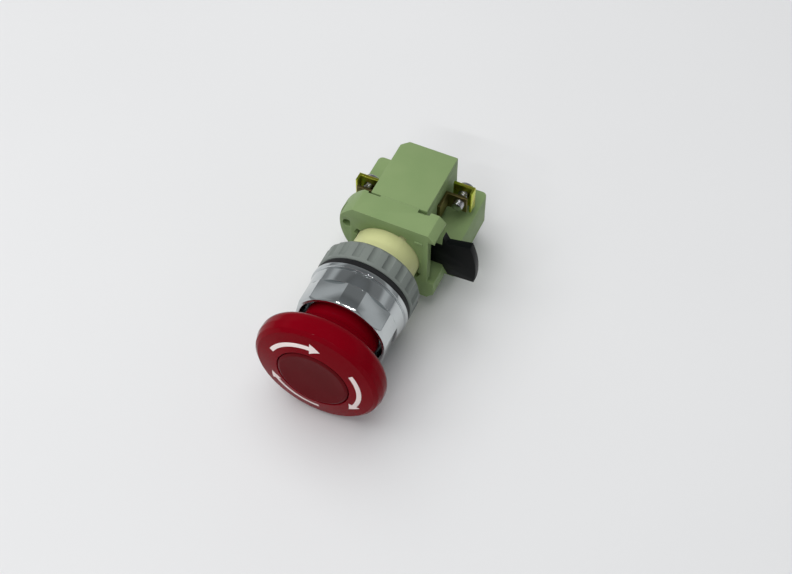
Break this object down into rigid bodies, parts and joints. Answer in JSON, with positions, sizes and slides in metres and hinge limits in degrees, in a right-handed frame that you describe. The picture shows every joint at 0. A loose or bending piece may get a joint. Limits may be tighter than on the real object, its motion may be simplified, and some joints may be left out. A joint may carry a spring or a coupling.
{
  "type": "emergency stop push button",
  "caption": "Panel-mount emergency-stop button: red turn-to-release mushroom head, chrome bezel, ring nut, bayonet adapter with lever, and stacked contact blocks with screw terminals.",
  "frame": {"origin": "on the button's axis in the panel's front plane, where the gasket seats", "axes": "+Y along the button's axis from the head to the contact blocks, +X towards the locking lever, +Z towards the block with open terminals"},
  "size_m": [0.047, 0.0839, 0.04],
  "materials": {
    "red_head": "polished deep red",
    "maroon_disc": "polished maroon",
    "white_inlay": "satin white",
    "chrome": "polished",
    "rubber": "matt black",
    "grey_nylon": "moulded light grey",
    "ivory": "moulded ivory",
    "green_housing": "moulded sage green",
    "black_plastic": "moulded black",
    "spring_steel": "drawn wire",
    "yellow_zinc": "yellow chromate",
    "screw_steel": "bright zinc",
    "contact_brass": "rolled"
  },
  "bodies": {
    "base": {"bezel_body": "chrome", "bezel_collar": "chrome", "panel_gasket": "rubber", "ring_nut": "grey_nylon", "operator_body": "ivory", "return_spring": "spring_steel", "adapter_housing": "green_housing", "upper_housing": "green_housing", "upper_cover": "green_housing", "lower_housing": "green_housing", "lower_cover": "green_housing", "upper_spring": "spring_steel", "lower_spring": "spring_steel", "upper_left_contact": "contact_brass", "upper_right_contact": "contact_brass", "lower_left_contact": "contact_brass", "lower_right_contact": "contact_brass"},
    "stem": {"push_stem": "black_plastic", "pusher_plate": "black_plastic"},
    "head": {"mushroom_head": "red_head", "head_disc": "maroon_disc", "head_arrows": "white_inlay", "head_screw": "screw_steel"},
    "latch": {"latch_ring": "black_plastic"},
    "upper_mover": {"upper_plunger": "ivory", "upper_bridge": "contact_brass"},
    "lower_mover": {"lower_plunger": "ivory", "lower_bridge": "contact_brass"},
    "lock": {"lock_ring": "black_plastic", "locking_lever": "black_plastic"},
    "upper_left_clamp": {"upper_left_saddle": "yellow_zinc", "upper_left_screw": "screw_steel"},
    "upper_right_clamp": {"upper_right_saddle": "yellow_zinc", "upper_right_screw": "screw_steel"},
    "lower_left_clamp": {"lower_left_saddle": "yellow_zinc", "lower_left_screw": "screw_steel"},
    "lower_right_clamp": {"lower_right_saddle": "yellow_zinc", "lower_right_screw": "screw_steel"}
  },
  "joints": [
    {"name": "head_push", "type": "slide", "parent": "base", "child": "stem", "axis": [0, 1, 0], "range_m": [0, 0.004], "stiffness_N_per_m": 1500, "springref_m": -0.004, "deforming": ["return_spring"]},
    {"name": "head_twist", "type": "hinge", "parent": "stem", "child": "head", "pos_m": [0, 0, 0], "axis": [0, 1, 0], "range_deg": [0, 45], "stiffness_Nm_per_rad": 0.05},
    {"name": "latch_turn", "type": "hinge", "parent": "base", "child": "latch", "pos_m": [0, 0, 0], "axis": [0, 1, 0], "range_deg": [0, 45]},
    {"name": "upper_contact_push", "type": "slide", "parent": "base", "child": "upper_mover", "axis": [0, 1, 0], "range_m": [0, 0.004], "deforming": ["upper_spring"]},
    {"name": "lower_contact_push", "type": "slide", "parent": "base", "child": "lower_mover", "axis": [0, 1, 0], "range_m": [0, 0.004], "deforming": ["lower_spring"]},
    {"name": "lock_turn", "type": "hinge", "parent": "base", "child": "lock", "pos_m": [0, 0, 0], "axis": [0, 1, 0], "range_deg": [0, 14]},
    {"name": "upper_left_tighten", "type": "slide", "parent": "base", "child": "upper_left_clamp", "axis": [0, -1, 0], "range_m": [0, 0.0025]},
    {"name": "upper_right_tighten", "type": "slide", "parent": "base", "child": "upper_right_clamp", "axis": [0, -1, 0], "range_m": [0, 0.0025]},
    {"name": "lower_left_tighten", "type": "slide", "parent": "base", "child": "lower_left_clamp", "axis": [0, -1, 0], "range_m": [0, 0.0025]},
    {"name": "lower_right_tighten", "type": "slide", "parent": "base", "child": "lower_right_clamp", "axis": [0, -1, 0], "range_m": [0, 0.0025]}
  ],
  "couplings": [
    {"joint": "latch_turn", "follows": "head_twist", "ratio": 1},
    {"joint": "upper_contact_push", "follows": "head_push", "ratio": 1},
    {"joint": "lower_contact_push", "follows": "head_push", "ratio": 1}
  ]
}
